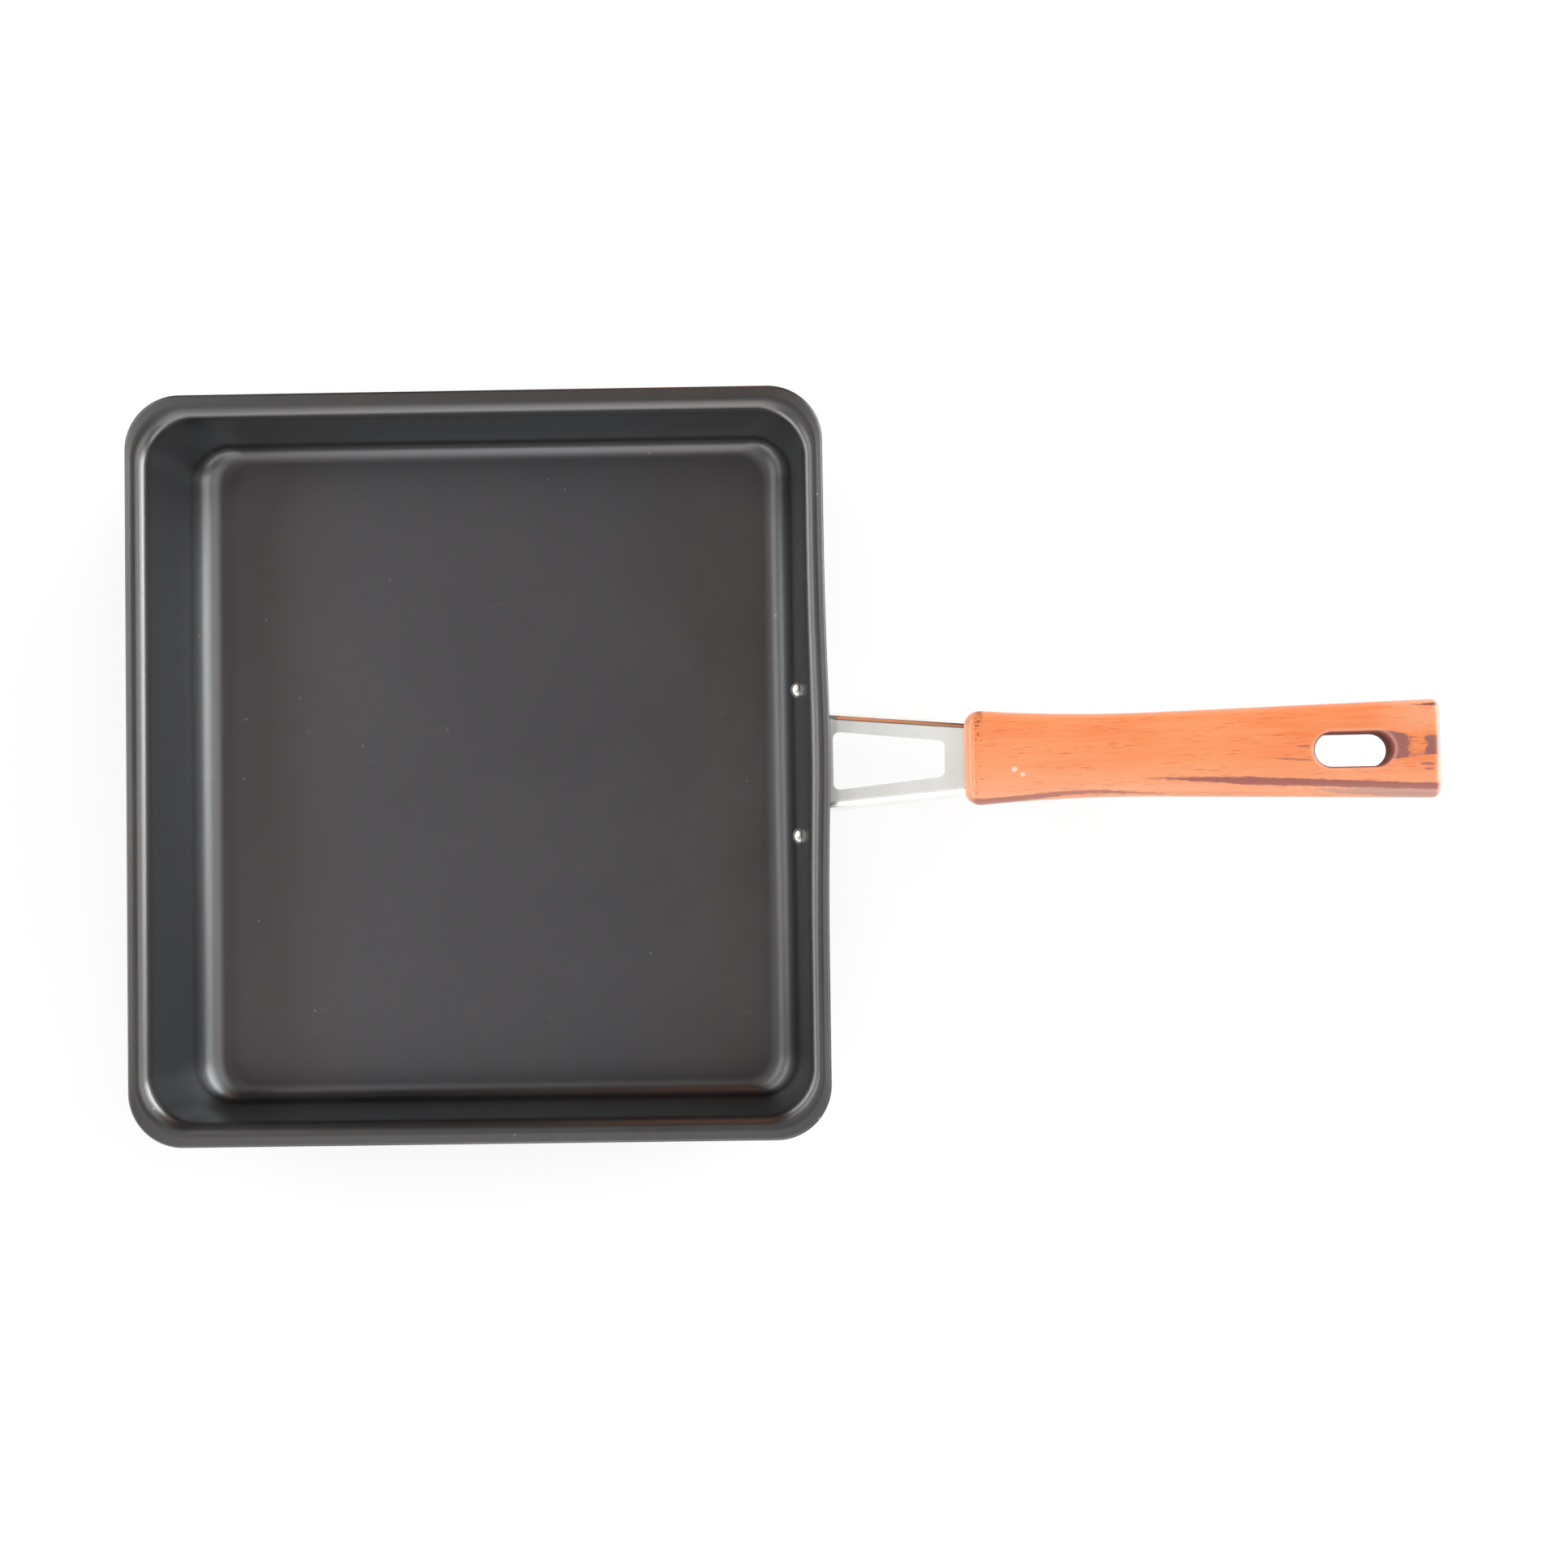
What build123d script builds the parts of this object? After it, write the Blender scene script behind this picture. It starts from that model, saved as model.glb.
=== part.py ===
from build123d import *
import os
from math import acos, asin, cos, radians, sin, sqrt, tan

os.makedirs("parts", exist_ok=True)

# The pan stands on z = 0 with its centre at the origin, and its handle points along +X.

# Pan, drawn from one sheet
pan_length = 195.0
pan_width = 209.6
pan_height = 38.0
sheet = 1.6
end_wall_lean = radians(7)
side_wall_lean = radians(2.4)
end_wall_bend = 8.5
side_wall_bend = 4.5
floor_corner = 7.0
rim_corner = 15.3

# Rim, the sheet bent outward into a gently crowned flange and turned down
rim_bend = 2.5
rim_reach = 3.2
rim_fall = 1.0
rim_hollow_fall = 0.8
rim_drop = 5.0
rim_land_fall = 0.004

# Rivets, set square to the handle-side wall
rivet_spacing = 42.0
rivet_height = 20.0
rivet_shank = 3.2
rivet_head = 5.0
rivet_head_height = 2.2
rivet_tail = 5.6
rivet_tail_height = 1.3
rivet_edge = 0.35
rivet_fit = 0.05

# Bracket, one pressed sheet: a channel that opens downward, with two ears on the wall
bracket_sheet = 1.2
bracket_top = 29.0
handle_rise = radians(10.5)
neck_width = 28.0
neck_root = 4.5
neck_depth = 14.5
neck_bend = 2.8
tang_length = 30.0
tang_width = 15.6
tang_depth = 7.5
window_start = 6.9
window_length = 31.4
window_wide = 16.6
window_narrow = 9.9
window_corner = 1.8
ear_span = 56.0
ear_height = 13.0
ear_corner = 5.5
ear_bend = 3.6

# Wooden grip
grip_start = 43.7
grip_length = 125.1
grip_thickness = 16.0
grip_over_tang = 3.5
grip_front_width = 26.9
grip_waist_width = 23.0
grip_butt_width = 26.2
grip_waist_share = 0.42
grip_belly = 0.7
grip_edge = 4.6
grip_front_edge = 4.2
grip_butt_edge = 1.8
slot_length = 19.9
slot_width = 9.0
slot_to_butt = 11.9
slot_edge = 1.3
tang_fit = 0.15

# Screw from below through the grip into the tang's web
screw_shaft = 4.0
screw_head = 7.0
screw_head_height = 2.2
screw_from_grip_front = 19.0
screw_past_web = 1.4
screw_tip = 0.6
screw_rim = 0.7
screw_recess = 0.5
screw_fit = 0.25
screw_thread_fit = 0.05
screw_cross_length = 3.6
screw_cross_width = 0.9
screw_cross_depth = 1.1

# How far a cut runs past what it cuts
overrun = 2.0

# Where the sheet's two skins lie, and the line where the rim's bend passes into its flange
rim_half = {"end": pan_length / 2, "side": pan_width / 2}
lean_of = {"end": end_wall_lean, "side": side_wall_lean}
bend_of = {"end": end_wall_bend, "side": side_wall_bend}
crown_half = {"end": rim_half["end"] - rim_reach, "side": rim_half["side"] - rim_reach}


def floor_half(wall):
    """Half the flat floor's extent between one pair of walls."""
    lean = lean_of[wall]
    bend = bend_of[wall]
    wall_top = crown_half[wall] - rim_bend * cos(lean)
    drop = pan_height - rim_bend * (1 - sin(lean)) - sheet - bend * (1 - sin(lean))
    return wall_top - drop * tan(lean) - bend * cos(lean)


def skin_half(wall, z, grown=0.0):
    """Half the extent of the cooking side at height z, or of the outside when grown by the sheet."""
    lean = lean_of[wall]
    radius = bend_of[wall] + grown
    bend_z = sheet + bend_of[wall]
    wall_z = bend_z - radius * sin(lean)
    if z <= wall_z:
        return floor_half(wall) + sqrt(max(radius**2 - (bend_z - z) ** 2, 0))
    return floor_half(wall) + radius * cos(lean) + (z - wall_z) * tan(lean)


def corner_at(half_length):
    """Corner radius where the end walls' skin has this half extent: it widens steadily to the rim's."""
    share = (half_length - floor_half("end")) / (rim_half["end"] - floor_half("end"))
    return floor_corner + (rim_corner - floor_corner) * share


def wall_section(z, grown=0.0):
    """Length, width and corner radius of the walls' skin at height z."""
    half_length = skin_half("end", z, grown)
    return 2 * half_length, 2 * skin_half("side", z, grown), corner_at(half_length)


def rim_section(angle, reach, fall, inward=False):
    """Drop and section of a quarter round from the crown line: its reach at no angle, the crown at 90 degrees."""
    out = -reach * cos(angle) if inward else reach * cos(angle)
    half_length = crown_half["end"] + out
    half_width = crown_half["side"] + out
    return fall * (1 - sin(angle)), (2 * half_length, 2 * half_width, corner_at(half_length))


# Angles round the bend between floor and wall, over the flange, and round the rim's bend
bend_steps = 8
bend_sweep = radians(90) - end_wall_lean
bend_angles = [bend_sweep * step / bend_steps for step in range(bend_steps + 1)]
rim_steps = 6
flange_steps = 9
flange_sweep = 1 - cos(asin(1 - rim_land_fall / rim_fall))
flange_angles = [acos(1 - flange_sweep * step / flange_steps) for step in range(flange_steps + 1)]
rim_sweep = asin(1 - rim_land_fall / rim_bend) - end_wall_lean
rim_angles = [end_wall_lean + rim_sweep * step / rim_steps for step in range(rim_steps + 1)]
outer_bend = end_wall_bend + sheet
rim_inside = rim_reach - sheet

# The handle-side wall: which way it faces and leans, and its outer skin at the rivets
wall_out = Vector(cos(end_wall_lean), 0, -sin(end_wall_lean))
wall_up = Vector(sin(end_wall_lean), 0, cos(end_wall_lean))
rivet_wall = Vector(skin_half("end", rivet_height, sheet), 0, rivet_height)
ear_section = Plane(rivet_wall, x_dir=wall_out, z_dir=wall_up)
ear_face = Plane(rivet_wall, x_dir=(0, 1, 0), z_dir=wall_out)

# The neck: its origin is on the wall at the web's top face, and it rises along the handle
rise_along = Vector(cos(handle_rise), 0, sin(handle_rise))
rise_up = Vector(-sin(handle_rise), 0, cos(handle_rise))
neck_origin = Vector(skin_half("end", bracket_top, sheet), 0, bracket_top)
neck = Plane(neck_origin, x_dir=rise_along, z_dir=rise_up)
neck_side = Plane(neck_origin, x_dir=rise_along, z_dir=(0, -1, 0))
neck_axis = Axis(neck_origin, rise_along)
neck_up = Axis(neck_origin, rise_up)
tang_end = grip_start + tang_length
neck_taper = (neck_width - tang_width) / 2 / (tang_end - neck_root)
grip_end = grip_start + grip_length
grip_floor = grip_over_tang - grip_thickness
slot_centre = grip_end - slot_to_butt - slot_length / 2
screw_place = grip_start + screw_from_grip_front
screw_seat = grip_floor + screw_recess + screw_head_height
screw_bottom = grip_floor + screw_recess

with BuildPart() as pan_outside:
    for angle in bend_angles:
        level = outer_bend * (1 - cos(angle))
        with BuildSketch(Plane.XY.offset(level)):
            RectangleRounded(*wall_section(level, sheet))
    loft()
    for level in (outer_bend * (1 - cos(bend_sweep)), pan_height - sheet / 2):
        with BuildSketch(Plane.XY.offset(level)):
            RectangleRounded(*wall_section(level, sheet))
    loft(ruled=True)

with BuildPart() as cooking_space:
    # Up the bend
    for angle in bend_angles:
        level = sheet + end_wall_bend * (1 - cos(angle))
        with BuildSketch(Plane.XY.offset(level)):
            RectangleRounded(*wall_section(level))
    loft()
    # Up the flat of the walls
    level = sheet + end_wall_bend * (1 - cos(bend_sweep))
    with BuildSketch(Plane.XY.offset(level)):
        RectangleRounded(*wall_section(level))
    drop, section = rim_section(end_wall_lean, rim_bend, rim_bend, inward=True)
    with BuildSketch(Plane.XY.offset(pan_height - drop)):
        RectangleRounded(*section)
    loft(ruled=True)
    # Round the rim's bend
    for angle in rim_angles:
        drop, section = rim_section(angle, rim_bend, rim_bend, inward=True)
        with BuildSketch(Plane.XY.offset(pan_height - drop)):
            RectangleRounded(*section)
    loft()
    with BuildSketch(Plane.XY.offset(pan_height - drop)):
        RectangleRounded(*section)
    extrude(amount=overrun)

with BuildPart() as pan_body:
    # The flange's outside, from its turned-down edge to the crown
    for angle in flange_angles:
        drop, section = rim_section(angle, rim_reach, rim_fall)
        with BuildSketch(Plane.XY.offset(pan_height - drop)):
            RectangleRounded(*section)
    loft()
    with BuildSketch(Plane.XY.offset(pan_height - rim_drop)):
        RectangleRounded(*rim_section(0, rim_reach, rim_fall)[1])
    extrude(amount=rim_drop - rim_fall)
    # The hollow under the flange
    for angle in flange_angles:
        drop, section = rim_section(angle, rim_inside, rim_hollow_fall)
        with BuildSketch(Plane.XY.offset(pan_height - sheet - drop)):
            RectangleRounded(*section)
    loft(mode=Mode.SUBTRACT)
    with BuildSketch(Plane.XY.offset(pan_height - rim_drop)):
        RectangleRounded(*rim_section(0, rim_inside, rim_hollow_fall)[1])
    extrude(amount=rim_drop - sheet - rim_hollow_fall, mode=Mode.SUBTRACT)
    # The walls and floor
    add(pan_outside.part)
    add(cooking_space.part, mode=Mode.SUBTRACT)
    # Rivet holes
    with BuildSketch(ear_face):
        with GridLocations(rivet_spacing, 0, 2, 1):
            Circle(rivet_shank / 2 + rivet_fit)
    extrude(amount=sheet + overrun, both=True, mode=Mode.SUBTRACT)


def neck_half_width(along):
    """Half the channel's outer width at this distance along the neck."""
    return neck_width / 2 - max(along - neck_root, 0) * neck_taper


def channel_block(inset, reach, overhang=0.0):
    """The channel's form less an inset, filled in, from inside the wall to a reach along the neck."""
    back = -neck_depth / 2
    with BuildPart() as block:
        # Side view: the open side rises from the ears to the tang
        with BuildSketch(neck_side):
            with BuildLine():
                Polyline(
                    (back, -inset),
                    (reach, -inset),
                    (reach, -tang_depth - overhang),
                    (grip_start - neck_root, -tang_depth - overhang),
                    (neck_root, -neck_depth - overhang),
                    (back, -neck_depth - overhang),
                    close=True,
                )
            make_face()
        extrude(amount=neck_width, both=True)
        # Plan view: straight at the wall, then narrowing to the end of the tang
        with BuildSketch(neck):
            with BuildLine():
                Polyline(
                    (back, 0),
                    (back, neck_half_width(back) - inset),
                    (neck_root, neck_half_width(neck_root) - inset),
                    (reach, neck_half_width(reach) - inset),
                    (reach, 0),
                )
                mirror(about=Plane.XZ)
            make_face()
        extrude(amount=2 * neck_depth, both=True, mode=Mode.INTERSECT)
        web = block.faces().sort_by(neck_up)[-1]
        fillet(web.edges().filter_by(Axis.Y, reverse=True), neck_bend - inset)
    return block.part


with BuildPart() as ears:
    # Seen along the wall: each flange turns out into an ear
    with BuildSketch(ear_section):
        with BuildLine():
            FilletPolyline(
                (bracket_sheet / 2, ear_span / 2),
                (bracket_sheet / 2, (neck_width - bracket_sheet) / 2),
                (neck_root, (neck_width - bracket_sheet) / 2),
                radius=ear_bend - bracket_sheet / 2,
            )
            mirror(about=Plane.XZ)
        trace(line_width=bracket_sheet)
    extrude(amount=ear_height / 2, both=True)
    with BuildSketch(ear_face):
        RectangleRounded(ear_span, ear_height, ear_corner)
    extrude(amount=neck_depth, both=True, mode=Mode.INTERSECT)

with BuildPart() as handle_bracket:
    add(channel_block(0, tang_end))
    add(channel_block(bracket_sheet, tang_end + overrun, overrun), mode=Mode.SUBTRACT)
    add(pan_outside.part, mode=Mode.SUBTRACT)
    add(ears.part)
    # Window in the web, and the screw's hole in the tang
    with BuildSketch(neck):
        with BuildLine():
            Polyline(
                (window_start, window_wide / 2),
                (window_start + window_length, window_narrow / 2),
                (window_start + window_length, -window_narrow / 2),
                (window_start, -window_wide / 2),
                close=True,
            )
        make_face()
        fillet(vertices(), window_corner)
        with Locations((screw_place, 0)):
            Circle(screw_shaft / 2 + screw_thread_fit)
    extrude(amount=2 * bracket_sheet, both=True, mode=Mode.SUBTRACT)
    # Rivet holes in the ears
    with BuildSketch(ear_face):
        with GridLocations(rivet_spacing, 0, 2, 1):
            Circle(rivet_shank / 2 + rivet_fit)
    extrude(amount=bracket_sheet + overrun, both=True, mode=Mode.SUBTRACT)

# Rivets: domed head inside the pan, shank through wall and ear, formed tail outside
rivet_grip = sheet + bracket_sheet

with BuildPart() as rivets:
    for side in (-1, 1):
        seat = rivet_wall - wall_out * sheet + Vector(0, side * rivet_spacing / 2, 0)
        with BuildSketch(Plane(seat, x_dir=(0, 1, 0), z_dir=-wall_up)):
            with BuildLine():
                TangentArc((0, -rivet_head_height), (rivet_head / 2, -rivet_edge), tangent=(1, 0))
                Polyline(
                    (rivet_head / 2, -rivet_edge),
                    (rivet_head / 2, 0),
                    (rivet_shank / 2, 0),
                    (rivet_shank / 2, rivet_grip),
                    (rivet_tail / 2, rivet_grip),
                    (rivet_tail / 2, rivet_grip + rivet_edge),
                )
                TangentArc(
                    (0, rivet_grip + rivet_tail_height),
                    (rivet_tail / 2, rivet_grip + rivet_edge),
                    tangent=(1, 0),
                )
                Line((0, rivet_grip + rivet_tail_height), (0, -rivet_head_height))
            make_face()
        revolve(axis=Axis(seat, wall_out))

with BuildPart() as handle_screw:
    with BuildSketch(neck_side):
        with BuildLine():
            TangentArc(
                (screw_place, screw_bottom),
                (screw_place + screw_head / 2, screw_seat - screw_rim),
                tangent=(1, 0),
            )
            Polyline(
                (screw_place + screw_head / 2, screw_seat - screw_rim),
                (screw_place + screw_head / 2, screw_seat),
                (screw_place + screw_shaft / 2, screw_seat),
                (screw_place + screw_shaft / 2, screw_past_web - screw_tip),
                (screw_place + screw_shaft / 2 - screw_tip, screw_past_web),
                (screw_place, screw_past_web),
                (screw_place, screw_bottom),
            )
        make_face()
    revolve(axis=Axis(neck_origin + rise_along * screw_place, rise_up))
    # Cross recess
    with BuildSketch(neck.offset(screw_bottom - overrun)):
        with Locations((screw_place, 0)):
            Rectangle(screw_cross_length, screw_cross_width)
            Rectangle(screw_cross_width, screw_cross_length)
    extrude(amount=overrun + screw_cross_depth, mode=Mode.SUBTRACT)

with BuildPart() as wood_handle:
    # Plan view: full at the front, a waist, then widening to the butt
    with BuildSketch(neck.offset(grip_over_tang)):
        with BuildLine():
            waist = (grip_start + grip_length * grip_waist_share, grip_waist_width / 2)
            flank = Line(waist, (grip_end, grip_butt_width / 2))
            flare = TangentArc(waist, (grip_start, grip_front_width / 2), tangent=-(flank % 0))
            Line(flank @ 1, (grip_end, 0))
            Line((grip_start, 0), flare @ 1)
            mirror(about=Plane.XZ)
        make_face()
    extrude(amount=-grip_thickness)
    # A shallow hollow along the underside for the fingers
    with BuildSketch(neck_side):
        with BuildLine():
            belly = ThreePointArc(
                (grip_start, grip_floor),
                (grip_start + grip_length / 2, grip_floor + grip_belly),
                (grip_end, grip_floor),
            )
            Line(belly @ 1, belly @ 0)
        make_face()
    extrude(amount=grip_front_width, both=True, mode=Mode.SUBTRACT)
    flats = wood_handle.faces().sort_by(neck_up)
    long_edges = flats[0].edges() + flats[-1].edges()
    fillet(long_edges.filter_by(Axis.Y, reverse=True), grip_edge)
    fillet(wood_handle.faces().sort_by(neck_axis)[0].edges(), grip_front_edge)
    fillet(wood_handle.faces().sort_by(neck_axis)[-1].edges(), grip_butt_edge)
    # Hang slot with rounded rims
    with BuildSketch(neck.offset(grip_over_tang + overrun)):
        with Locations((slot_centre, 0)):
            SlotOverall(slot_length, slot_width)
    extrude(amount=-grip_thickness - 2 * overrun, mode=Mode.SUBTRACT)
    fillet(wood_handle.edges(Select.LAST).filter_by(neck_up, reverse=True), slot_edge)
    # Mortise for the tang: the flanges stand on its floor, and it is clear of them elsewhere
    add(channel_block(-tang_fit, tang_end + tang_fit), mode=Mode.SUBTRACT)
    # Screw hole with its counterbore, and room above the web for the screw's tip
    with BuildSketch(neck.offset(screw_past_web + tang_fit)):
        with Locations((screw_place, 0)):
            Circle(screw_shaft / 2 + screw_fit)
    extrude(amount=-grip_thickness, mode=Mode.SUBTRACT)
    with BuildSketch(neck.offset(screw_seat)):
        with Locations((screw_place, 0)):
            Circle(screw_head / 2 + screw_fit)
    extrude(amount=-grip_thickness, mode=Mode.SUBTRACT)

pieces = {
    "pan_body": pan_body,
    "handle_bracket": handle_bracket,
    "rivets": rivets,
    "wood_handle": wood_handle,
    "handle_screw": handle_screw,
}
for name, piece in pieces.items():
    piece.part.label = name
    export_step(piece.part, f"parts/{name}.step")
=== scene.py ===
from math import cos, exp, hypot, pi, radians, sin, tan

import bmesh
import bpy
from mathutils import Matrix, Vector


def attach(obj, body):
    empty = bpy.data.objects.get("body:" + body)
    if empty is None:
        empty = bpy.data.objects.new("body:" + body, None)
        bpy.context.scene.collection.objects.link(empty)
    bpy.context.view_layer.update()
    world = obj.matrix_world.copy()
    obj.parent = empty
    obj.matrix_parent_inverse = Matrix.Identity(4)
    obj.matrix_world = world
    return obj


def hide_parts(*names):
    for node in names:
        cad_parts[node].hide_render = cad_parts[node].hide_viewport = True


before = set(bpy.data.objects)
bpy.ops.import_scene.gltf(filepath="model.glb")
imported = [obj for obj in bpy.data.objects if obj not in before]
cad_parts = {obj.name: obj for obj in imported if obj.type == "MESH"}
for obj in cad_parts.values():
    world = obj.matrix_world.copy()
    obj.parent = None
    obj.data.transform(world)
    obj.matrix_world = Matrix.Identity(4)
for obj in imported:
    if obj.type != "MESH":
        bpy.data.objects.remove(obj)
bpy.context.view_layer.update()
scene = bpy.context.scene
scene.view_settings.view_transform = "Standard"


# Node helpers

class Graph:
    """Builds one node tree: each call adds a node, and a value may be a number, a tuple or another node's output."""

    def __init__(self, tree):
        self.tree = tree
        tree.nodes.clear()

    def node(self, kind, inputs=None, **settings):
        made = self.tree.nodes.new(kind)
        for name, value in settings.items():
            setattr(made, name, value)
        for name, value in (inputs or {}).items():
            self.put(made.inputs[name], value)
        return made

    def put(self, socket, value):
        if isinstance(value, bpy.types.NodeSocket):
            self.tree.links.new(value, socket)
        else:
            socket.default_value = value

    def math(self, operation, first, second=0.0):
        return self.node("ShaderNodeMath", {0: first, 1: second}, operation=operation).outputs[0]

    def add(self, first, second):
        return self.math("ADD", first, second)

    def less(self, first, second):
        return self.math("SUBTRACT", first, second)

    def times(self, first, *others):
        for other in others:
            first = self.math("MULTIPLY", first, other)
        return first

    def larger(self, first, second):
        return self.math("MAXIMUM", first, second)

    def size(self, value):
        return self.math("ABSOLUTE", value)

    def mix(self, factor, first, second):
        inputs = {"Factor": factor, 6: first, 7: second}
        return self.node("ShaderNodeMix", inputs, data_type="RGBA", clamp_factor=True).outputs[2]

    def noise(self, vector, scale, detail=2.0, rough=0.5):
        inputs = {"Vector": vector, "Scale": scale, "Detail": detail, "Roughness": rough}
        return self.node("ShaderNodeTexNoise", inputs).outputs["Fac"]

    def voronoi(self, vector, scale):
        return self.node("ShaderNodeTexVoronoi", {"Vector": vector, "Scale": scale}).outputs["Distance"]

    def vector(self, operation, first, second):
        return self.node("ShaderNodeVectorMath", {0: first, 1: second}, operation=operation).outputs["Vector"]

    def scaled(self, vector, by):
        return self.vector("MULTIPLY", vector, by)

    def dot(self, first, second):
        return self.node("ShaderNodeVectorMath", {0: first, 1: second}, operation="DOT_PRODUCT").outputs["Value"]

    def length(self, vector):
        return self.node("ShaderNodeVectorMath", {0: vector}, operation="LENGTH").outputs["Value"]

    def normal(self):
        return self.node("ShaderNodeNewGeometry").outputs["Normal"]

    def steps(self, value, low, high, to_low=0.0, to_high=1.0, smooth=True):
        """Maps low to to_low and high to to_high, and holds both ends."""
        inputs = {"Value": value, "From Min": low, "From Max": high, "To Min": to_low, "To Max": to_high}
        kind = "SMOOTHSTEP" if smooth else "LINEAR"
        return self.node("ShaderNodeMapRange", inputs, interpolation_type=kind).outputs["Result"]

    def place(self, scale=(1, 1, 1), turn=0):
        """Object coordinates in metres, turned about Z by an angle in degrees."""
        here = self.node("ShaderNodeTexCoord").outputs["Object"]
        inputs = {"Vector": here, "Scale": scale, "Rotation": (0, 0, radians(turn))}
        return self.node("ShaderNodeMapping", inputs).outputs[0]

    def bump(self, height, distance, normal=None):
        made = self.node("ShaderNodeBump", {"Height": height, "Distance": distance, "Strength": 1.0})
        if normal is not None:
            self.put(made.inputs["Normal"], normal)
        return made.outputs[0]

    def principled(self, inputs):
        self.surface(self.node("ShaderNodeBsdfPrincipled", inputs).outputs[0])

    def surface(self, output):
        self.node("ShaderNodeOutputMaterial", {"Surface": output})


def new_material(name):
    material = bpy.data.materials.new(name)
    material.use_nodes = True
    return material, Graph(material.node_tree)


def grey(level):
    return (level, level, level, 1)


def link_new(name, data):
    made = bpy.data.objects.new(name, data)
    scene.collection.objects.link(made)
    return made


# Coat of the pan. Heights and distances in metres, each pair from where a change starts to where it ends.

COAT_FLOOR_MIDDLE = (0.178, 0.173, 0.180, 1)
COAT_FLOOR_ENDS = (0.174, 0.160, 0.161, 1)
# Painted light in the coat: the bend above the floor carries painted shade, and the walls a brighter, bluer painted
# reflection.
COAT_CORNER_PAINTED_SHADE = (0.146, 0.150, 0.152, 1)
COAT_WALL_PAINTED_REFLECTION = (0.198, 0.215, 0.225, 1)
COAT_RIM = (0.166, 0.162, 0.160, 1)
COAT_OUTSIDE = (0.082, 0.083, 0.085, 1)
COAT_CLOUD = (0.190, 0.183, 0.183, 1)
COAT_MARK = (0.30, 0.29, 0.28, 1)
COAT_DUST = (0.42, 0.41, 0.40, 1)
FLOOR_HEIGHT = (0.0017, 0.0030)
CORNER_HEIGHT = (0.007, 0.011)
RIM_HEIGHT = (0.032, 0.0355)
POLISH_HEIGHT = (0.0345, 0.0365)
MIDDLE_REACH = (0.03, 0.07)
OUTWARD_REACH = (0.03, 0.065)
ORANGE_PEEL_DEPTH = 0.00003
FLAKE_DEPTH = 0.000012


def coat_material():
    """Satin metal-flake coat: orange peel, wipe marks and dust specks, a duller, warmer floor, painted shade in the
    floor's bend, a brighter, bluer painted reflection on the walls, a darker outside.
    """
    material, graph = new_material("dark_coat")
    here = graph.place()
    height = graph.dot(here, (0, 0, 1))
    on_floor = graph.steps(height, *FLOOR_HEIGHT, 1, 0)
    cloud = graph.noise(here, 22, detail=4, rough=0.6)

    # Colour by height, with painted shade in the bend above the floor and a brighter, bluer painted reflection on
    # the walls, then one darker shade on faces that look away from the pan's middle
    from_middle = graph.size(graph.dot(here, (1, 0, 0)))
    floor_colour = graph.mix(graph.steps(from_middle, *MIDDLE_REACH), COAT_FLOOR_MIDDLE, COAT_FLOOR_ENDS)
    lower_wall_painted_light = graph.mix(graph.steps(height, *CORNER_HEIGHT), COAT_CORNER_PAINTED_SHADE, COAT_WALL_PAINTED_REFLECTION)
    wall_colour_painted_light = graph.mix(graph.steps(height, *RIM_HEIGHT), lower_wall_painted_light, COAT_RIM)
    colour = graph.mix(on_floor, wall_colour_painted_light, floor_colour)
    outward = graph.steps(graph.dot(graph.normal(), graph.scaled(here, (1, 1, 0))), *OUTWARD_REACH)
    colour = graph.mix(outward, colour, COAT_OUTSIDE)

    # Clouds, scratch marks on the floor and dust
    colour = graph.mix(graph.steps(cloud, 0.35, 0.75, 0, 0.3), colour, COAT_CLOUD)
    scratches = graph.noise(graph.scaled(graph.place(turn=-24), (70, 1700, 70)), 1, detail=1)
    marks = graph.times(graph.steps(scratches, 0.72, 0.78), on_floor)
    colour = graph.mix(graph.times(marks, 0.3), colour, COAT_MARK)
    dust = graph.steps(graph.voronoi(here, 95), 0.03, 0.045, 1, 0)
    colour = graph.mix(graph.times(dust, 0.5), colour, COAT_DUST)

    # Sheen: wiped along the floor, slightly polished at the rim
    wipes = graph.noise(graph.scaled(graph.place(turn=12), (900, 35, 35)), 1)
    dull = graph.add(graph.steps(cloud, 0.3, 0.7, 0.33, 0.365), graph.times(wipes, 0.03))
    polish = graph.steps(height, *POLISH_HEIGHT, 0, 0.03)
    flakes = graph.bump(graph.noise(here, 2400, detail=1), FLAKE_DEPTH)
    graph.principled({
        "Base Color": colour,
        "Roughness": graph.less(dull, polish),
        "Metallic": 1.0,
        "Specular Tint": grey(0.88),
        "Normal": graph.bump(graph.noise(here, 140, detail=2), ORANGE_PEEL_DEPTH, normal=flakes),
    })
    return material


# Steel

LINE_DEPTH = 0.000003
HAZY_METALLIC = 0.36


def steel_material(name, colour, rough, along, hazy=None):
    """Steel with fine drawn lines, a few scratches and a faint haze; faces that look along hazy are duller."""
    material, graph = new_material(name)
    lines = graph.noise(graph.place(scale=along), 1, detail=3)
    haze = graph.noise(graph.place(), 160, detail=3)
    scratch = graph.steps(graph.noise(graph.scaled(graph.place(turn=38), (220, 4200, 220)), 1), 0.72, 0.8)
    darker = tuple(0.95 * value for value in colour[:3]) + (1,)
    metallic = 1.0
    if hazy:
        metallic = graph.steps(graph.dot(graph.normal(), hazy), 0.95, 0.995, 1.0, HAZY_METALLIC)
    graph.principled({
        "Base Color": graph.mix(graph.steps(haze, 0.3, 0.75), colour, darker),
        "Metallic": metallic,
        "Roughness": graph.add(graph.steps(haze, 0.3, 0.7, rough, rough * 1.3), graph.times(scratch, 0.12)),
        "Normal": graph.bump(lines, LINE_DEPTH),
    })
    return material


# Wood. The grip's own axes, in millimetres: along the handle from the neck's root, across it, and up from the
# bracket's web. The slot is straight over SLOT_STRAIGHT to each side of its centre and round beyond.

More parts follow.
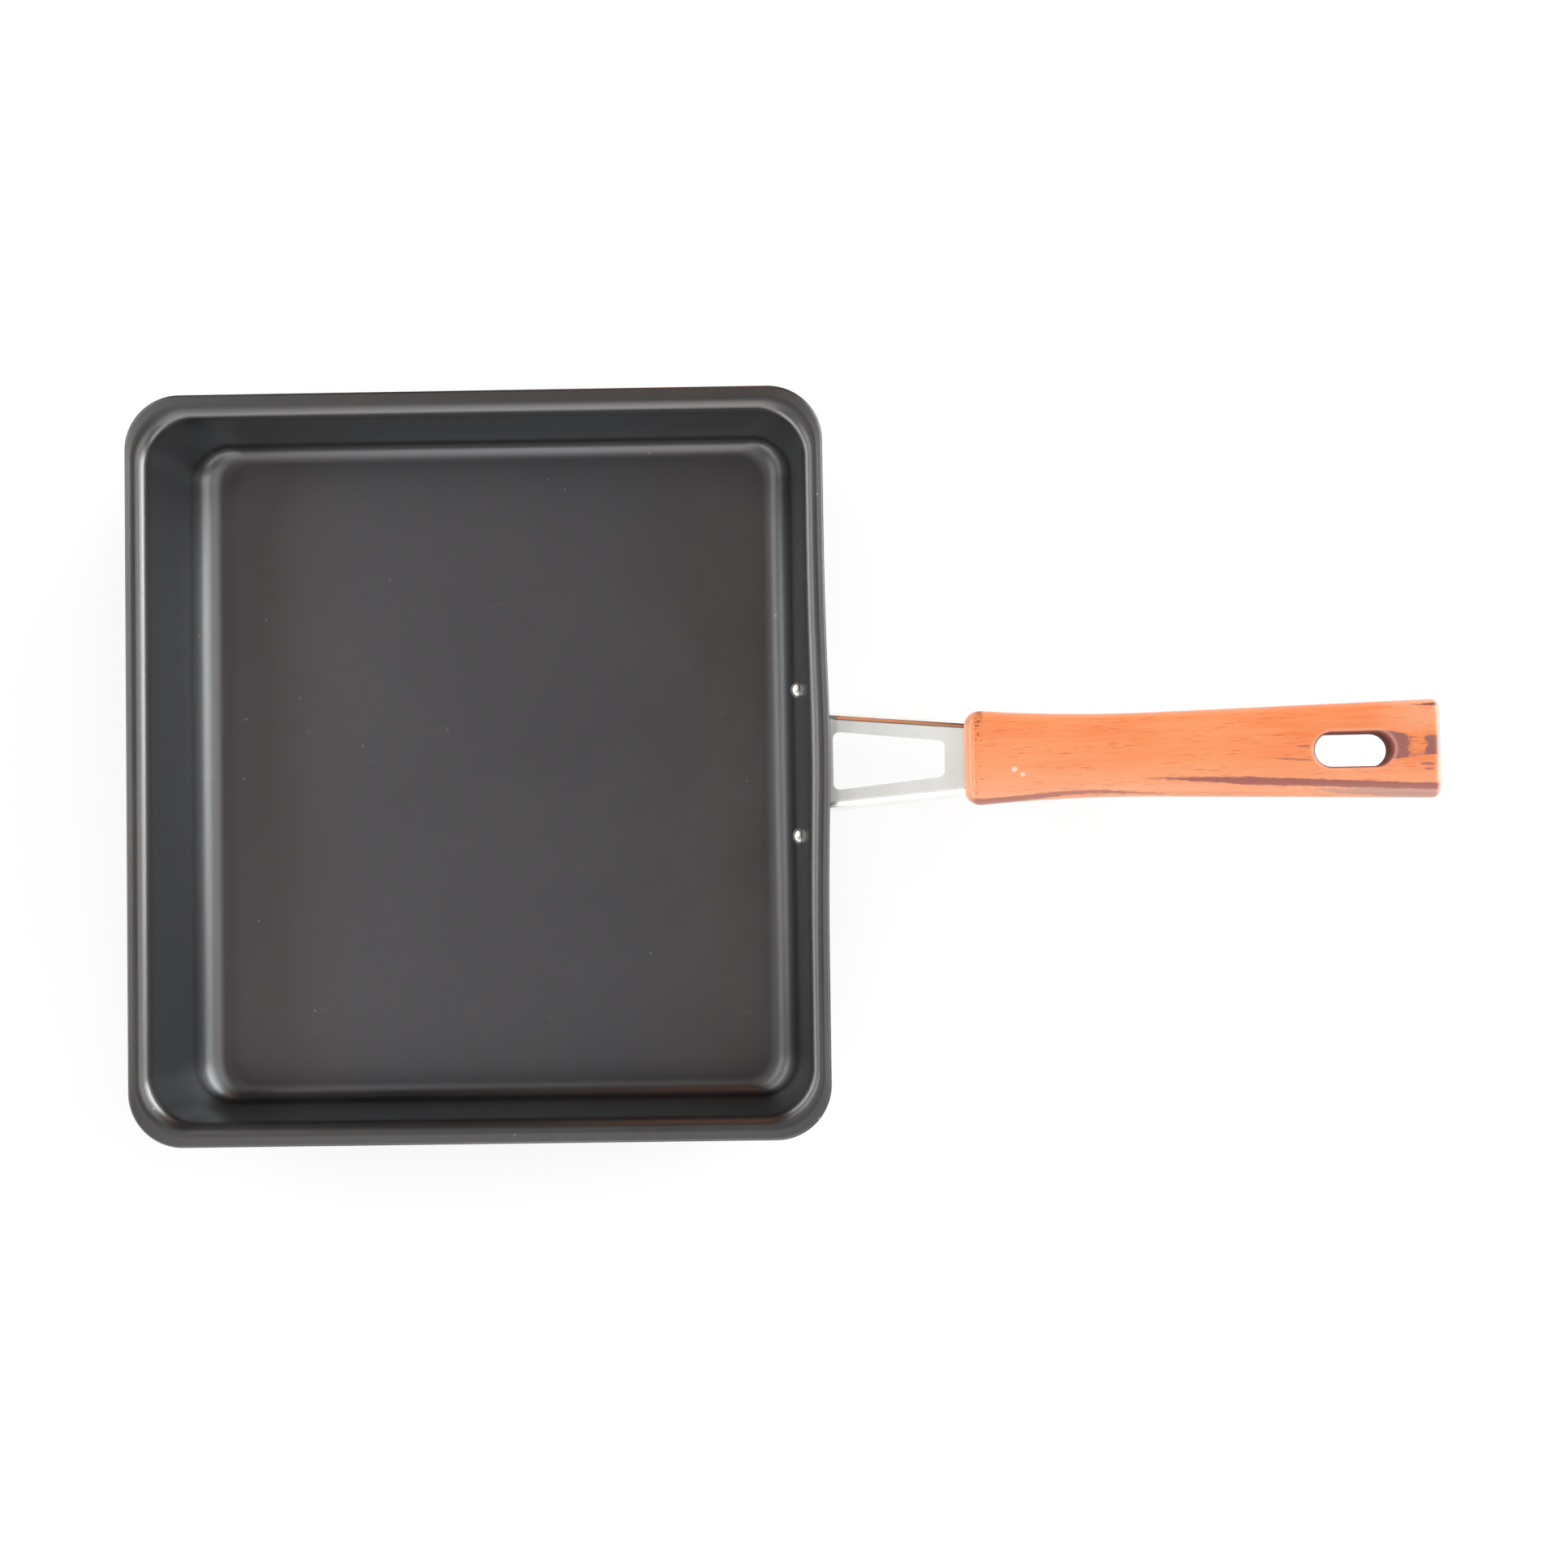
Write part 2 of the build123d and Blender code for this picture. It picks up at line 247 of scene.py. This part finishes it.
NECK_ROOT = (0.0926, 0.0, 0.029)
HANDLE_RISE = radians(10.5)
HANDLE_ALONG = (cos(HANDLE_RISE), 0, sin(HANDLE_RISE))
HANDLE_ACROSS = (0, 1, 0)
HANDLE_UP = (-sin(HANDLE_RISE), 0, cos(HANDLE_RISE))
SLOT_CENTRE, SLOT_STRAIGHT, SLOT_HALF = 146.95, 5.45, 4.5

WOOD_DEEP = (0.92, 0.235, 0.068, 1)
WOOD_WARM = (0.96, 0.310, 0.115, 1)
WOOD_GRAIN = (0.98, 0.41, 0.20, 1)
WOOD_LIGHT = (0.97, 0.45, 0.26, 1)
WOOD_RAY = (0.66, 0.120, 0.025, 1)
# Painted dark reflections, in mauve streaks:
MAUVE_PAINTED_REFLECTION = (0.40, 0.135, 0.110, 1)
PALE_MAUVE_PAINTED_REFLECTION = (0.62, 0.305, 0.235, 1)
# Painted dark reflections behind the slot and along one edge near the butt:
BEHIND_SLOT_PAINTED_REFLECTION = (0.36, 0.135, 0.115, 1)
CORNER_LINE_PAINTED_REFLECTION = (0.22, 0.06, 0.04, 1)
# Painted highlight at the front end:
FRONT_PAINTED_HIGHLIGHT = (0.93, 0.47, 0.27, 1)
END_MARK = (0.20, 0.045, 0.015, 1)
PALE_SPOT_COLOUR = (0.93, 0.72, 0.62, 1)
# Slot: the rim's pale colour is a painted highlight; the wall's dark colours are bare wood with painted shade.
SLOT_RIM_PAINTED_HIGHLIGHT = (0.88, 0.42, 0.30, 1)
SLOT_DARK_WITH_PAINTED_SHADE = (0.22, 0.060, 0.040, 1)
SLOT_LIGHT_WITH_PAINTED_SHADE = (0.42, 0.135, 0.090, 1)
# Painted highlight along the butt:
BUTT_PAINTED_HIGHLIGHT = (0.86, 0.49, 0.37, 1)
RAY_LAYERS = (  # length and width of a cell in mm, dash size, strength
    (7.0, 0.50, 0.31, 0.6),
    (4.2, 0.36, 0.30, 0.4),
)
SHORT_STREAKS = (  # start and stop along, middle across, half width
    (163.6, 166.8, -4.2, 0.45),
    (164.6, 166.6, -5.5, 0.35),
)
PALE_SPOTS = (  # along, across, radius
    (57.7, -3.5, 0.75),
    (59.9, -4.9, 0.65),
)
GRIP_TOP = 3.5
PORE_DEPTH = 0.00002


def wood_material():
    """Lacquered beech: short rays along the grain, painted dark reflections in streaks and patches, a slot with a
    painted highlight on its rim and a dark bare wall with painted shade, and painted highlights at both ends.
    """
    material, graph = new_material("lacquered_beech")
    here = graph.node("ShaderNodeTexCoord").outputs["Object"]
    offset = graph.vector("SUBTRACT", here, NECK_ROOT)
    along = graph.times(graph.dot(offset, HANDLE_ALONG), 1000)
    across = graph.times(graph.dot(offset, HANDLE_ACROSS), 1000)
    up = graph.times(graph.dot(offset, HANDLE_UP), 1000)
    grip = graph.node("ShaderNodeCombineXYZ", {"X": along, "Y": across, "Z": up}).outputs[0]

    def grain_noise(by_along, by_across, by_up=None, **settings):
        by_up = by_across if by_up is None else by_up
        return graph.noise(graph.scaled(grip, (by_along, by_across, by_up)), 1, **settings)

    # Grain, lighter toward one side and in one corner of the butt
    broad = grain_noise(0.03, 0.11, detail=2)
    grain = grain_noise(0.07, 1.6, detail=4, rough=0.6)
    colour = graph.mix(graph.steps(broad, 0.32, 0.68), WOOD_DEEP, WOOD_WARM)
    colour = graph.mix(graph.steps(grain, 0.3, 0.75, 0, 0.4), colour, WOOD_GRAIN)
    butt_corner = graph.times(graph.steps(along, 148, 163), graph.steps(across, 3, 7, 0, 0.55))
    lighter = graph.add(graph.steps(across, 1, -9, 0, 0.5), butt_corner)
    colour = graph.mix(lighter, colour, WOOD_LIGHT)
    ragged = graph.less(grain_noise(0.35, 1.1, detail=4, rough=0.65), 0.5)

    # Rays: two sizes of short dark dashes
    for cell_long, cell_wide, size, strength in RAY_LAYERS:
        cells = graph.scaled(grip, (1 / cell_long, 1 / cell_wide, 1 / cell_wide))
        dashes = graph.voronoi(graph.vector("ADD", cells, (0.3, 0.7, 0.1)), 1)
        mask = graph.steps(dashes, 0.45 * size, size, strength, 0)
        patchy = graph.steps(grain_noise(0.06, 0.35, detail=1), 0.38, 0.60)
        colour = graph.mix(graph.times(mask, patchy), colour, WOOD_RAY)

    # Painted dark reflections, in streaks on the upper side
    above = graph.steps(up, -4, -1)
    across_wavy = graph.add(across, graph.times(ragged, 1.1))

    def streak(middle, half, soft=0.35):
        distance = graph.less(graph.size(graph.less(across_wavy, middle)), half)
        return graph.steps(distance, -soft, soft * 0.4, 1, 0)

    def span(start, stop, soft=1.5):
        starts = graph.steps(along, start - soft, start + soft)
        return graph.times(starts, graph.steps(along, stop - soft, stop + soft, 1, 0))

    # Tints the upper side, both with real end-grain marks and with the painted dark reflections.
    def stain_and_painted_reflection(mask, tint, most=1.0):
        return graph.mix(graph.times(mask, above, most), colour, tint)

    slope = graph.steps(along, 87, 167, -6.2, -10.1, smooth=False)
    widens = graph.steps(along, 86, 118, -0.15, 1.25, smooth=False)
    width = graph.add(widens, graph.steps(along, 118, 168, -0.1, -0.3))
    beside = streak(graph.less(slope, 1.9), graph.steps(along, 118, 160, -0.6, 1.3))
    colour = stain_and_painted_reflection(beside, PALE_MAUVE_PAINTED_REFLECTION)
    colour = stain_and_painted_reflection(streak(slope, width), MAUVE_PAINTED_REFLECTION)

    edge = graph.add(graph.steps(along, 44, 78, -12.4, -10.0), graph.steps(along, 80, 98, 0, -0.7))
    edge_half = graph.steps(along, 45, 99, 1.15, 0.15, smooth=False)
    colour = stain_and_painted_reflection(graph.times(streak(edge, edge_half), span(40, 99, 2)), MAUVE_PAINTED_REFLECTION, 0.85)

    thin = graph.steps(along, 121, 136, -1.5, -2.7, smooth=False)
    thin_half = graph.steps(along, 120, 130, -0.2, 0.28)
    colour = stain_and_painted_reflection(graph.times(streak(thin, thin_half, 0.25), span(121, 136)), MAUVE_PAINTED_REFLECTION, 0.8)
    colour = stain_and_painted_reflection(graph.times(streak(1.1, 0.35, 0.3), span(132.6, 135.5, 0.8)), MAUVE_PAINTED_REFLECTION, 0.8)

    # Painted dark reflection behind the slot, broken by one ragged lighter band
    behind_top = graph.steps(along, 154, 164, 4.9, 3.3)
    behind_low = graph.steps(along, 154, 166, -3.0, -1.9)
    behind = graph.times(
        graph.steps(graph.less(behind_top, across_wavy), -0.25, 0.25),
        graph.steps(graph.less(across_wavy, behind_low), -0.25, 0.25),
    )
    ragged_along = graph.add(along, graph.times(ragged, 6))
    lighter_band = graph.times(graph.steps(ragged_along, 160.4, 161.3), graph.steps(ragged_along, 164.4, 165.4, 1, 0))
    band_grain = graph.steps(grain_noise(0.22, 2.4, detail=3), 0.38, 0.50, 0.45, 1.0)
    solid = graph.times(behind, graph.less(1.0, graph.times(lighter_band, band_grain)))
    colour = stain_and_painted_reflection(graph.times(solid, graph.steps(along, 150, 152)), BEHIND_SLOT_PAINTED_REFLECTION)
    # Short streaks of painted dark reflection near the butt
    for start, stop, middle, half in SHORT_STREAKS:
        colour = stain_and_painted_reflection(graph.times(span(start, stop, 0.6), streak(middle, half)), MAUVE_PAINTED_REFLECTION, 0.85)
    # A thin line of painted dark reflection along one edge near the butt
    corner = streak(11.5, graph.steps(along, 156, 168, -0.2, 0.45), 0.2)
    colour = stain_and_painted_reflection(graph.times(corner, graph.steps(along, 156, 158)), CORNER_LINE_PAINTED_REFLECTION, 0.9)

    # Front end: a paler band that is a painted highlight, then a column of dark end-grain marks that is densest at
    # one side
    front = graph.steps(along, 45.6, 47.2, 1, 0)
    colour = graph.mix(graph.times(front, 0.55), colour, FRONT_PAINTED_HIGHLIGHT)
    marks = grain_noise(0.9, 1.9, 1.2, detail=3, rough=0.7)
    fewest = graph.steps(across, 2, 12, 0.62, 0.47)
    column = graph.times(graph.steps(marks, fewest, graph.add(fewest, 0.05)), span(47.0, 49.0, 0.5))
    colour = stain_and_painted_reflection(column, END_MARK, 0.9)

    # Two small pale spots
    for place, side, radius in PALE_SPOTS:
        spot = graph.vector("SUBTRACT", grip, (place, side, GRIP_TOP))
        far = graph.add(graph.length(spot), graph.times(ragged, 0.8))
        colour = graph.mix(graph.steps(far, radius - 0.2, radius + 0.15, 0.85, 0), colour, PALE_SPOT_COLOUR)

    # Slot: a painted highlight on its eased rim, and a wall without lacquer whose dark colour is partly the bare
    # wood and partly painted shade
    reach = graph.less(graph.size(graph.less(along, SLOT_CENTRE)), SLOT_STRAIGHT)
    flat = graph.node("ShaderNodeCombineXYZ", {"X": graph.larger(reach, 0.0), "Y": across}).outputs[0]
    from_axis = graph.length(flat)
    colour = graph.mix(graph.steps(from_axis, 5.1, 6.0, 0.35, 0), colour, SLOT_RIM_PAINTED_HIGHLIGHT)
    inside = graph.steps(from_axis, SLOT_HALF + 0.15, SLOT_HALF + 0.55, 1, 0)
    colour = graph.mix(inside, colour, graph.mix(grain, SLOT_DARK_WITH_PAINTED_SHADE, SLOT_LIGHT_WITH_PAINTED_SHADE))

    # Butt: a pale band that is a painted highlight
    colour = graph.mix(graph.steps(along, 167.3, 168.3, 0, 0.75), colour, BUTT_PAINTED_HIGHLIGHT)

    pores = graph.add(grain, graph.times(dashes, 0.4))
    graph.principled({
        "Base Color": colour,
        "Roughness": graph.larger(graph.steps(grain, 0.3, 0.7, 0.42, 0.55), graph.times(inside, 0.85)),
        "Coat Weight": graph.times(graph.less(1.0, inside), 0.6),
        "Coat Roughness": 0.10,
        "Specular IOR Level": 0.35,
        "Normal": graph.bump(pores, PORE_DEPTH),
    })
    return material


def dress(name, material):
    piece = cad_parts[name]
    piece.data.materials.clear()
    piece.data.materials.append(material)


dress("handle_bracket", steel_material("satin_steel", (0.95, 0.95, 0.91, 1), 0.15, (60, 5200, 5200), HANDLE_UP))
dress("rivets", steel_material("rivet_alloy", (0.93, 0.90, 0.83, 1), 0.27, (2600, 2600, 2600)))
dress("wood_handle", wood_material())
dress("handle_screw", steel_material("zinc_plate", (0.72, 0.72, 0.70, 1), 0.28, (3000, 3000, 3000)))


# Pan, in millimetres: the CAD pan's form with a flatter flange, a rounder bend under it, slightly other leans
# and floor corners, a crisp outer edge, and the rim's slight bow over the handle

MM = 0.001
SHEET = 1.6
PAN_TOP = 37.99
LIP = 5.0
RIM_BEND = 3.8
FLANGE_FALL = 0.15
FLANGE_EDGE = 0.75
UNDER_EDGE = 0.4
FLOOR_INSET = 0.4
FLOOR_CORNER, RIM_CORNER = 8.5, 15.3
RIM_BOW, BOW_CENTRE, BOW_SPREAD = 1.05, 4.0, 30.0
BOW_START_HEIGHT, BOW_RISE = 20, 18
BOW_START_ALONG, BOW_EASE = 80, 10
CORNER_STEPS = 18
SIDE_STEPS = 28
WALLS = {
    "end": {"rim": 97.5, "reach": 1.9, "bend": 8.5, "lean": radians(7.4)},
    "side": {"rim": 104.8, "reach": 2.9, "bend": 4.5, "lean": radians(1.8)},
}


def arc(centre, radius, start, stop, steps):
    """Points on an arc, by the angle from straight down, toward the outside."""
    angles = [start + (stop - start) * step / steps for step in range(steps + 1)]
    return [(centre[0] + radius * sin(t), centre[1] - radius * cos(t)) for t in angles]


def stretch(first, last):
    """Points between two others, close to both ends, so that shading stays flat between them."""
    long, high = last[0] - first[0], last[1] - first[1]
    near = 0.25 / max(hypot(long, high), 0.6)
    return [(first[0] + long * k, first[1] + high * k) for k in (near, 0.5, 1 - near)]


def wall_profile(rim, reach, bend, lean):
    """One wall's closed section from the floor's middle out to the rim and back to the middle of the underside."""
    crown = rim - reach
    drop = PAN_TOP - RIM_BEND * (1 - sin(lean)) - SHEET - bend * (1 - sin(lean))
    floor = crown - RIM_BEND * cos(lean) - drop * tan(lean) - bend * cos(lean)
    foot = (floor, SHEET + bend)
    head = (crown, PAN_TOP - RIM_BEND)
    half = SHEET / 2
    edge_centre = (rim - FLANGE_EDGE, PAN_TOP - FLANGE_FALL - FLANGE_EDGE)
    under_centre = (rim - SHEET - UNDER_EDGE, PAN_TOP - SHEET - FLANGE_FALL - UNDER_EDGE)
    middle = [(0.5 * floor, SHEET), (floor - FLOOR_INSET, SHEET)]
    inner_bend = arc(foot, bend, 0, pi / 2 - lean, 16)
    rim_bend = arc(head, RIM_BEND, -pi / 2 - lean, -pi, 12)
    edge = arc(edge_centre, FLANGE_EDGE, pi, pi / 2, 8)
    lip = arc((rim - half, PAN_TOP - LIP + half), half, pi / 2, -pi / 2, 10)
    under_edge = arc(under_centre, UNDER_EDGE, pi / 2, pi, 4)
    under_bend = arc(head, RIM_BEND - SHEET, -pi, -pi / 2 - lean, 8)
    outer_bend = arc(foot, bend + SHEET, pi / 2 - lean, 0, 16)
    under = [(floor - FLOOR_INSET, 0), (0.5 * floor, 0)]
    sections = [middle, inner_bend, rim_bend, edge, lip, under_edge, under_bend, outer_bend, under]
    points = []
    for section in sections:
        if points and section is not inner_bend and section is not under:
            points += stretch(points[-1], section[0])
        points += section
    return points, floor


def ring(end, side, corner):
    """A rounded rectangle whose end and side walls may stand at different heights."""
    loop = []
    half_x, half_y = end[0] - corner, side[0] - corner
    signs = ((1, 1), (-1, 1), (-1, -1), (1, -1))
    for quarter, (sign_x, sign_y) in enumerate(signs):
        for step in range(CORNER_STEPS + 1):
            turn = pi / 2 * (quarter + step / CORNER_STEPS)
            toward_side = step / CORNER_STEPS if quarter % 2 == 0 else 1 - step / CORNER_STEPS
            share = toward_side * toward_side * (3 - 2 * toward_side)
            loop.append((
                sign_x * half_x + corner * cos(turn),
                sign_y * half_y + corner * sin(turn),
                end[1] + (side[1] - end[1]) * share,
            ))
        next_x, next_y = signs[(quarter + 1) % 4]
        turn = pi / 2 * (quarter + 1)
        start = loop[-1]
        stop = (next_x * half_x + corner * cos(turn), next_y * half_y + corner * sin(turn), start[2])
        for step in range(1, SIDE_STEPS):
            loop.append(tuple(a + (b - a) * step / SIDE_STEPS for a, b in zip(start, stop)))
    return loop


def bow(x, y, z):
    """How far the rim over the handle stands out at this point."""
    rise = min(max((z - BOW_START_HEIGHT) / BOW_RISE, 0), 1) ** 2
    near = min(max((x - BOW_START_ALONG) / BOW_EASE, 0), 1)
    return RIM_BOW * rise * near * exp(-((y - BOW_CENTRE) / BOW_SPREAD) ** 2)


def make_pan():
    end_profile, end_floor = wall_profile(**WALLS["end"])
    side_profile, _ = wall_profile(**WALLS["side"])
    mesh = bmesh.new()
    rings = []
    for end, side in zip(end_profile, side_profile):
        share = max(end[0] - end_floor, 0) / (WALLS["end"]["rim"] - end_floor)
        corner = FLOOR_CORNER + (RIM_CORNER - FLOOR_CORNER) * share
        points = ((x + bow(x, y, z), y, z) for x, y, z in ring(end, side, corner))
        rings.append([mesh.verts.new((x * MM, y * MM, z * MM)) for x, y, z in points])
    top = mesh.verts.new((0, 0, SHEET * MM))
    bottom = mesh.verts.new((0, 0, 0))
    count = len(rings[0])
    for step in range(count):
        after = (step + 1) % count
        mesh.faces.new((top, rings[0][step], rings[0][after]))
        mesh.faces.new((bottom, rings[-1][after], rings[-1][step]))
        for inner, outer in zip(rings, rings[1:]):
            mesh.faces.new((inner[step], outer[step], outer[after], inner[after]))
    bmesh.ops.recalc_face_normals(mesh, faces=mesh.faces)
    for face in mesh.faces:
        face.smooth = True
    data = bpy.data.meshes.new("coated_pan")
    mesh.to_mesh(data)
    mesh.free()
    return link_new("coated_pan", data)


pan = make_pan()
pan.data.materials.append(coat_material())
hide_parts("pan_body")
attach(pan, "root")


# Floor: a hair below the pan, so that no two faces coincide, and small enough for the lamps to light it evenly

FLOOR_SIZE = 3.2
FLOOR_LEVEL = -0.0003
FLOOR_SHADE = 0.28
FLOOR_GLOW = 0.76


def floor_material():
    """Pale floor that keeps shadows; its glow is seen by the camera and by mirrored rays, and lights nothing."""
    material, graph = new_material("pale_floor")
    seen = graph.node("ShaderNodeLightPath").outputs
    mirrored = graph.larger(seen["Is Glossy Ray"], seen["Is Transmission Ray"])
    shown = graph.larger(seen["Is Camera Ray"], mirrored)
    diffuse = graph.node("ShaderNodeBsdfDiffuse", {"Color": grey(FLOOR_SHADE)})
    glow = graph.node("ShaderNodeEmission", {"Color": grey(1.0), "Strength": graph.times(shown, FLOOR_GLOW)})
    both = graph.node("ShaderNodeAddShader", {0: diffuse.outputs[0], 1: glow.outputs[0]})
    graph.surface(both.outputs[0])
    return material


bpy.ops.mesh.primitive_plane_add(size=FLOOR_SIZE, location=(0, 0, FLOOR_LEVEL))
floor = bpy.context.object
floor.name = "floor"
floor.data.materials.append(floor_material())


# Light: softboxes, and one small warm card that the bracket's side mirrors

LAMP_DISTANCE = 2.5


def area_lamp(name, size, radiance, tint, place, facing):
    """A rectangular lamp of even radiance that the camera doesn't see; it shines against facing."""
    lamp = bpy.data.lights.new(name, "AREA")
    lamp.shape = "RECTANGLE"
    lamp.size, lamp.size_y = size
    lamp.energy = radiance * pi * size[0] * size[1]
    lamp.color = tint
    holder = link_new(name, lamp)
    holder.visible_camera = False
    holder.location = place
    holder.rotation_euler = facing.to_track_quat("Z", "Y").to_euler()


def softbox(name, azimuth, zenith, wide, tall, radiance, tint=(1, 1, 1)):
    """A lamp that covers wide by tall degrees as the object sees it."""
    a, z = radians(azimuth), radians(zenith)
    toward = Vector((sin(z) * cos(a), sin(z) * sin(a), cos(z)))
    size = [2 * LAMP_DISTANCE * tan(radians(angle / 2)) for angle in (wide, tall)]
    area_lamp(name, size, radiance, tint, toward * LAMP_DISTANCE, toward)


area_lamp("warm_card", (0.10, 0.24), 0.7, (1.0, 0.37, 0.16), (0.058, 0.285, 0.155), Vector((-0.15, 1, 0.35)))
softbox("key_high", 14, 29, 54, 26, 1.35)
softbox("key", 20, 59, 52, 15, 4.0)
softbox("key_low", 26, 78, 56, 14, 9.5, (0.94, 1.0, 1.03))
softbox("side_low", -45, 80, 40, 16, 3.0)
softbox("back_low", 215, 80, 50, 14, 4.5)
softbox("left_top", 172, 17, 60, 20, 0.42)
softbox("left", 160, 45, 52, 12, 3.0)
softbox("left_low", 155, 78, 60, 16, 4.0)
softbox("front_top", 270, 20, 46, 15, 0.4)
softbox("front", 270, 46, 46, 34, 1.15)
softbox("front_low", 270, 74, 50, 24, 1.6)


# World: white to the camera, a dim even light to matt surfaces, and to mirrored rays a grey room that is darker
# overhead and behind the pan

def make_world():
    world = bpy.data.worlds.new("studio")
    world.use_nodes = True
    scene.world = world
    sky = Graph(world.node_tree)
    seen = sky.node("ShaderNodeLightPath").outputs
    toward = sky.node("ShaderNodeTexCoord").outputs["Generated"]
    across = sky.dot(toward, (0, 1, 0))
    upward = sky.dot(toward, (0, 0, 1))
    around = sky.mix(sky.steps(upward, 0.6, 0.9), grey(0.26), grey(0.08))
    around = sky.mix(sky.steps(across, 0.2, 0.4), around, (0.035, 0.030, 0.027, 1))
    ambient = sky.mix(sky.steps(across, -0.2, 0.8), grey(0.14), grey(0.34))
    mirrored = sky.larger(seen["Is Glossy Ray"], seen["Is Transmission Ray"])
    colour = sky.mix(seen["Is Camera Ray"], sky.mix(mirrored, ambient, around), grey(1.0))
    back = sky.node("ShaderNodeBackground", {"Color": colour, "Strength": 1.0})
    sky.node("ShaderNodeOutputWorld", {"Surface": back.outputs[0]})


make_world()


# Camera, where the photograph was taken from. Focal length and shift were fitted in pixels of the photograph.

PHOTO_SIDE = 1932
FOCAL_PIXELS = 2163.1
SHIFT_PIXELS = (8.0, 5.0)
CAMERA_PLACE = (0.0877, -0.0190, 0.5240)
ROLL, TILT_Y, TILT_X = radians(0.84), radians(-0.473), radians(-1.35)
SENSOR_WIDTH = 36

camera_data = bpy.data.cameras.new("camera")
camera = link_new("camera", camera_data)
tilt = Matrix.Rotation(TILT_Y, 3, "Y") @ Matrix.Rotation(TILT_X, 3, "X")
turn = (Matrix.Rotation(ROLL, 3, "Z") @ tilt).transposed()
camera.matrix_world = Matrix.Translation(CAMERA_PLACE) @ turn.to_4x4()
camera_data.sensor_width = SENSOR_WIDTH
camera_data.lens = SENSOR_WIDTH * FOCAL_PIXELS / PHOTO_SIDE
camera_data.shift_x = SHIFT_PIXELS[0] / PHOTO_SIDE
camera_data.shift_y = SHIFT_PIXELS[1] / PHOTO_SIDE
camera_data.clip_start = 0.01
scene.camera = camera
